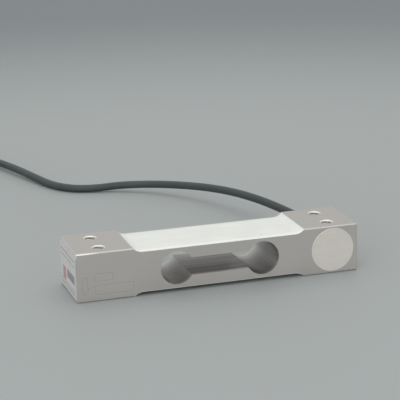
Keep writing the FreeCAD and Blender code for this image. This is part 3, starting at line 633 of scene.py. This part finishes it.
def make_thread(name, x, y, material):
    """The ridge of a 1 mm thread on the wall of one tapping bore, fading out at both ends."""
    root, crest, pitch = 2.51 * MM, 2.14 * MM, 1.0 * MM
    low, high = BEAM_LOW.z + CHAMFER, BEAM_HIGH.z - CHAMFER
    profile = ((root, -0.40), (crest, -0.07), (crest, 0.07), (root, 0.40))
    per_turn, least_rise = 28, 0.02
    fade_steps = per_turn / 2
    steps = int(per_turn * (high - low - pitch) / pitch)
    made = bmesh.new()
    rings = []
    for step in range(steps + 1):
        turn = 2 * math.pi * step / per_turn
        base = low + pitch * (0.5 + step / per_turn)
        rise = max(min(1.0, step / fade_steps, (steps - step) / fade_steps), least_rise)
        ring = []
        for radius, shift in profile:
            r = root + (radius - root) * rise
            place = (x + r * math.cos(turn), y + r * math.sin(turn), base + shift * pitch)
            ring.append(made.verts.new(place))
        rings.append(ring)
    for one, two in zip(rings, rings[1:]):
        band(made, one, two)
    made.faces.new(rings[0])
    made.faces.new(list(reversed(rings[-1])))
    return closed_piece(name, made, material, "aluminium_bar")


def inset_loop(corners, width):
    """The loop that lies width inside a counter-clockwise loop of corners."""
    least_cosine = 0.3  # holds the inset back at a sharp corner
    inside = []
    for index, corner in enumerate(corners):
        before, after = corners[index - 1], corners[(index + 1) % len(corners)]
        one = (Vector(corner) - Vector(before)).normalized()
        two = (Vector(after) - Vector(corner)).normalized()
        left_one, left_two = Vector((-one.y, one.x)), Vector((-two.y, two.x))
        middle = (left_one + left_two).normalized()
        step = width / max(least_cosine, middle.dot(left_one))
        inside.append(Vector(corner) + middle * step)
    return inside


def make_etching(name, loops, width, material):
    """Etched outlines on the front face, each a closed band of that width."""
    sunk, proud = 0.05 * MM, 0.012 * MM
    made = bmesh.new()
    for corners in loops:
        pairs = list(zip([Vector(c) for c in corners], inset_loop(corners, width)))
        deep, shown = (
            [
                tuple(made.verts.new((p.x * MM, BEAM_LOW.y + depth, p.y * MM)) for p in pair)
                for pair in pairs
            ]
            for depth in (sunk, -proud)
        )
        for k in range(len(pairs)):
            n = (k + 1) % len(pairs)
            made.faces.new((shown[k][0], shown[n][0], shown[n][1], shown[k][1]))
            made.faces.new((deep[k][1], deep[n][1], deep[n][0], deep[k][0]))
            made.faces.new((shown[k][0], deep[k][0], deep[n][0], shown[n][0]))
            made.faces.new((shown[k][1], shown[n][1], deep[n][1], deep[k][1]))
    return closed_piece(name, made, material, "aluminium_bar")


def rectangle(x_from, x_to, z_from, z_to, corner=0.5):
    """A counter-clockwise rectangle with cut corners, in mm."""
    return [
        (x_from + corner, z_from), (x_to - corner, z_from), (x_to, z_from + corner),
        (x_to, z_to - corner), (x_to - corner, z_to), (x_from + corner, z_to),
        (x_from, z_to - corner), (x_from, z_from + corner),
    ]


def load_arrow(centre, shaft, head, top, shoulder, tip):
    """A counter-clockwise outline of an arrow that points down, in mm."""
    return [
        (centre, tip), (centre + head, shoulder), (centre + shaft, shoulder),
        (centre + shaft, top), (centre - shaft, top), (centre - shaft, shoulder),
        (centre - head, shoulder),
    ]


def make_seal(material):
    """The adhesive round the cable: it fills the mouth and climbs a little up the sheath."""
    low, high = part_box("cable_seal")
    centre = Vector(((low.x + high.x) / 2, high.y, (low.z + high.z) / 2))
    outer = (high.x - low.x) / 2
    inner, bore, cone = CABLE_RADIUS - 0.02 * MM, 2.29 * MM, -0.72 * MM
    foot, fillet_steps = outer - 0.05 * MM, 8
    profile = [(inner, low.y - high.y), (bore, low.y - high.y), (bore, cone)]
    profile.append((outer - 0.01 * MM, -0.02 * MM))
    for step in range(fillet_steps + 1):
        share = step / fillet_steps
        radius = foot - share * (foot - CABLE_RADIUS)
        profile.append((radius, (0.02 + 0.55 * share**2.2) * MM))
    profile.append((inner, 0.6 * MM))
    place = Matrix.Translation(centre) @ Matrix.Rotation(math.radians(-90), 4, "X")
    return closed_piece("seal_fillet", lathe(profile, place), material, "sealant", "cable_seal")


# ------------------------------------------------------------------ the cable

# The cable's line in mm. It lies on the floor at LYING, and its first points are the exit.
LYING = 2.02
ROUTE = [
    (59.2, 15.0, 11.0), (59.2, 18.0, 11.0), (59.0, 30.0, 10.8),
    (57.6, 45.0, 10.55), (52.9, 71.0, 10.45), (46.6, 94.0, 9.75), (38.8, 113.5, 8.4),
    (28.3, 131.5, 6.5), (14.8, 146.8, 4.7), (-0.5, 156.0, 3.3), (-12.0, 158.6, 2.1),
    (-24.4, 162.4, LYING), (-33.1, 173.4, LYING), (-38.6, 190.6, 2.4),
    (-46.0, 213.0, 3.4), (-54.0, 238.0, 2.8), (-66.0, 262.0, LYING),
]
TAIL_STEPS = ((-12.5, 0.4, 5.0), (-24.0, 2.6, 2.9), (-35.0, 6.0, LYING))

# The coil: radii of its turns, height of a layer, turns in all and in the lower layer, half
# the climb between the layers in turns, and how far and how often a turn strays.
OUTER_TURN, INNER_TURN, LAYER = 26.7, 16.2, 4.0
WHOLE_TURNS, LOW_TURNS, HALF_CLIMB = 5, 2.6, 0.12
POINTS_PER_TURN = 16
WANDER, WANDER_RATE = 0.12, 3.1

# The tie sits at this angle. Near it, within the angles given, turns press outward and up.
TIE_ANGLE, PRESS_ANGLE, LIFT_ANGLE = math.pi, 1.5, 0.5
LOWER_PRESS, UPPER_PRESS = (1.6, 0.8), (1.0, 0.3)


def coil_centre():
    """The coil's middle: its outer turn is tangent to the last run of the route."""
    before, last = Vector(ROUTE[-2]), Vector(ROUTE[-1])
    heading = (last - before).normalized()
    return Vector((last.x, last.y, 0)) + Vector((-heading.y, heading.x, 0)) * OUTER_TURN


def coil_points(centre):
    """Two layers of turns: in along the surface, then out again on top of them."""
    last = Vector(ROUTE[-1]) - centre
    start = math.atan2(last.y, last.x)
    total = WHOLE_TURNS + (math.pi / 2 - start) / (2 * math.pi)
    steps = round(total * POINTS_PER_TURN)
    points = []
    for step in range(1, steps + 1):
        turned = total * step / steps
        lower = turned < LOW_TURNS
        if lower:
            radius = OUTER_TURN + (INNER_TURN - OUTER_TURN) * turned / LOW_TURNS
        else:
            share = (turned - LOW_TURNS) / (total - LOW_TURNS)
            radius = INNER_TURN + (OUTER_TURN - INNER_TURN) * share
        height = LYING + LAYER * unit((turned - LOW_TURNS + HALF_CLIMB) / (2 * HALF_CLIMB))

        angle = start + 2 * math.pi * turned
        off_tie = angle - TIE_ANGLE
        near_tie = abs(math.atan2(math.sin(off_tie), math.cos(off_tie)))
        outward, upward = LOWER_PRESS if lower else UPPER_PRESS
        pressed = unit(1 - near_tie / PRESS_ANGLE)
        pressed *= pressed * (3 - 2 * pressed)
        radius += outward * pressed
        height += upward * math.sqrt(unit(1 - near_tie / LIFT_ANGLE))
        radius += WANDER * math.sin(WANDER_RATE * angle + turned)
        points.append((
            centre.x + radius * math.cos(angle), centre.y + radius * math.sin(angle), height
        ))
    return points


def make_cable(material):
    """The whole cable as one curve: the route, the coil and the tail that leaves it."""
    centre = coil_centre()
    points = ROUTE + coil_points(centre)
    back = centre.y + OUTER_TURN
    points += [(centre.x + dx, back + dy, z) for dx, dy, z in TAIL_STEPS]
    data = bpy.data.curves.new("cable", "CURVE")
    data.dimensions = "3D"
    spline = data.splines.new("NURBS")
    spline.points.add(len(points) - 1)
    for point, (x, y, z) in zip(spline.points, points):
        point.co = (x * MM, y * MM, z * MM, 1)
    spline.order_u = 3
    spline.use_endpoint_u = True
    spline.resolution_u = 8
    data.bevel_depth = CABLE_RADIUS
    data.bevel_resolution = 6
    data.use_fill_caps = True
    data.materials.append(material)
    cable = bpy.data.objects.new("cable", data)
    bpy.context.scene.collection.objects.link(cable)
    placed(cable, "cable_sheath", "cable_jacket", "cable_coil", "cable_tail")


def make_strands(node, material):
    """The tinned strands of one stripped tip, six twisted round a straight one."""
    points = np.array([v.co for v in NODES[node].data.vertices])
    middle = points.mean(0)
    offsets = points - middle
    axis = Vector(np.linalg.svd(offsets, full_matrices=False)[2][0])
    along = offsets @ np.array(axis)
    radius = np.linalg.norm(offsets - np.outer(along, np.array(axis)), axis=1).max()
    start, length = Vector(middle) + axis * along.min(), along.max() - along.min()
    side = axis.orthogonal().normalized()
    other = axis.cross(side)

    def aside(angle):
        return side * math.cos(angle) + other * math.sin(angle)

    outer_strands, twist = 6, 2.2 * math.pi
    steps, around = 14, 8
    strand = radius / 3
    made = bmesh.new()
    for index in range(outer_strands + 1):
        rings = []
        for step in range(steps + 1):
            share = step / steps
            turn = index * math.pi / 3 + twist * share
            off = 0 if index == outer_strands else 2 * strand
            heart = start + axis * (length * share) + aside(turn) * off
            rings.append([
                made.verts.new(heart + aside(2 * math.pi * k / around) * strand)
                for k in range(around)
            ])
        for one, two in zip(rings, rings[1:]):
            band(made, one, two)
        made.faces.new(list(reversed(rings[0])))
        made.faces.new(rings[-1])
    name = node.replace("core_tip", "strands")
    return closed_piece(name, made, material, "tinned_copper", node)


# ------------------------------------------------------------------ floor and light

# The floor is even round the part, and painted darker beyond, a painted falloff of the light, in
# metres from the part.
FLOOR_HALF, FLOOR_FALLOFF = 4, (0.28, 0.78)
WORLD_COLOUR, WORLD_STRENGTH = (1.0, 0.995, 0.985, 1), 0.65

# Each lamp's name, place, width in metres and power in watts. All aim at the origin.
LAMPS = (
    ("overhead", (0.1, 0.4, 1.5), 1.9, 6.9),
    ("fill", (-0.9, -1.3, 0.8), 1.2, 6.5),
)


def make_floor():
    """A pale floor, with a painted falloff of the light away from the part."""
    made = bmesh.new()
    bmesh.ops.create_grid(made, x_segments=8, y_segments=8, size=FLOOR_HALF)
    floor = finish_mesh("floor", made)
    shade = Shade("floor", 0.5, Specular_IOR_Level=0.3)
    cloud = shade.noise(1.2, detail=3)
    pale = shade.mix(
        shade.spread(cloud, 0, 1), (0.380, 0.412, 0.412), (0.400, 0.432, 0.432)
    )
    x, y, _ = shade.split(shade.place)
    away = shade.distance((x, y), (0, 0))
    # painted falloff of the light: darker away from the part
    painted_light_falloff = shade.spread(away, 0, 1, *FLOOR_FALLOFF, kind="SMOOTHSTEP")
    shade.colour(shade.mix(painted_light_falloff, pale, (0.199, 0.226, 0.240)))
    shade.roughness(shade.spread(cloud, 0.45, 0.55))
    floor.data.materials.append(shade.material)


def make_light():
    """Plain soft studio light: an even world and two wide lamps."""
    world = bpy.data.worlds.new("world")
    bpy.context.scene.world = world
    world.use_nodes = True
    background = world.node_tree.nodes["Background"]
    background.inputs["Color"].default_value = WORLD_COLOUR
    background.inputs["Strength"].default_value = WORLD_STRENGTH
    for name, place, width, power in LAMPS:
        data = bpy.data.lights.new(name, "AREA")
        data.shape = "SQUARE"
        data.size = width
        data.energy = power
        holder = bpy.data.objects.new(name, data)
        bpy.context.scene.collection.objects.link(holder)
        holder.location = place
        toward = -Vector(place)
        holder.rotation_euler = toward.to_track_quat("-Z", "Y").to_euler()


# ------------------------------------------------------------------ assembly


def dress_nodes(finishes):
    """Each CAD node gets the finish of its material slot."""
    for part in frame["record"]["subparts"]:
        node = NODES[part["node"]]
        material = finishes[part["material_slot"]]
        for slot in node.material_slots:
            slot.material = material
        if not node.material_slots:
            node.data.materials.append(material)


def main():
    make_camera()
    make_floor()
    make_light()

    bar = aluminium_bar()
    silicone = white_silicone()
    sheath = cable_sheath()
    sealant = mottled("sealant", (0.74, 0.74, 0.71), 0.4, grain=500, depth=0.04 * MM)
    tinned = drawn_metal("tinned_copper", (0.74, 0.74, 0.75), 0.34)
    nylon = mottled("nylon_tie", (0.035, 0.035, 0.036), 0.42, grain=700)
    foil = foil_disc()
    film = label_film()

    make_cable(sheath)
    strands = [make_strands(f"core_tip_{colour}", tinned) for colour in CORE_COLOURS]

    make_coat("silicone_top", "top_silicone", 1, BARE_STRIP, silicone)
    make_coat("silicone_bottom", "bottom_silicone", -1, 0, silicone)
    make_disc(foil)
    make_label(film)
    make_seal(sealant)
    for end, x in (("load", -THREAD_X), ("fixed", THREAD_X)):
        for side, y in (("near", -THREAD_Y), ("far", THREAD_Y)):
            make_thread(f"thread_{end}_{side}", x, y, bar)

    # places in mm on the front face
    etched = mottled("etched_bar", (0.585, 0.56, 0.535), 0.5, 0.86, grain=1800)
    arrow = load_arrow(centre=-61.2, shaft=1.2, head=2.1, top=11.4, shoulder=6.6, tip=3.0)
    fields = [rectangle(-57.0, -48.6, 9.0, 12.6), rectangle(-57.0, -39.4, 3.0, 7.4)]
    make_etching("load_arrow", [arrow], 0.34, etched)
    make_etching("blank_fields", fields, 0.26, etched)

    dress_nodes({
        "aluminium_bar": bar,
        "white_silicone": silicone,
        "cable_sheath": sheath,
        "sealant": sealant,
        "tinned_copper": tinned,
        "nylon_tie": nylon,
        "foil_disc": foil,
        "label_film": film,
        "board_laminate": board_laminate(),
        "copper_foil": drawn_metal("copper_foil", (0.80, 0.50, 0.33), 0.35),
        "solder": drawn_metal("solder", (0.72, 0.72, 0.73), 0.25),
        "resistor_body": mottled("resistor_body", (0.03, 0.03, 0.035), 0.4),
        "gauge_backing": mottled("gauge_backing", (0.62, 0.36, 0.08), 0.22, grain=400),
        "gauge_foil": drawn_metal("gauge_foil", (0.68, 0.56, 0.42), 0.3, (0.1, 1, 1)),
        "enamelled_wire": drawn_metal("enamelled_wire", (0.62, 0.24, 0.10), 0.2),
        "insulation_red": mottled("insulation_red", (0.48, 0.025, 0.025), 0.4),
        "insulation_black": mottled("insulation_black", (0.02, 0.02, 0.022), 0.4),
        "insulation_green": mottled("insulation_green", (0.02, 0.24, 0.06), 0.4),
        "insulation_white": mottled("insulation_white", (0.76, 0.76, 0.73), 0.4),
    })

    bpy.context.scene.view_settings.view_transform = "Standard"


main()
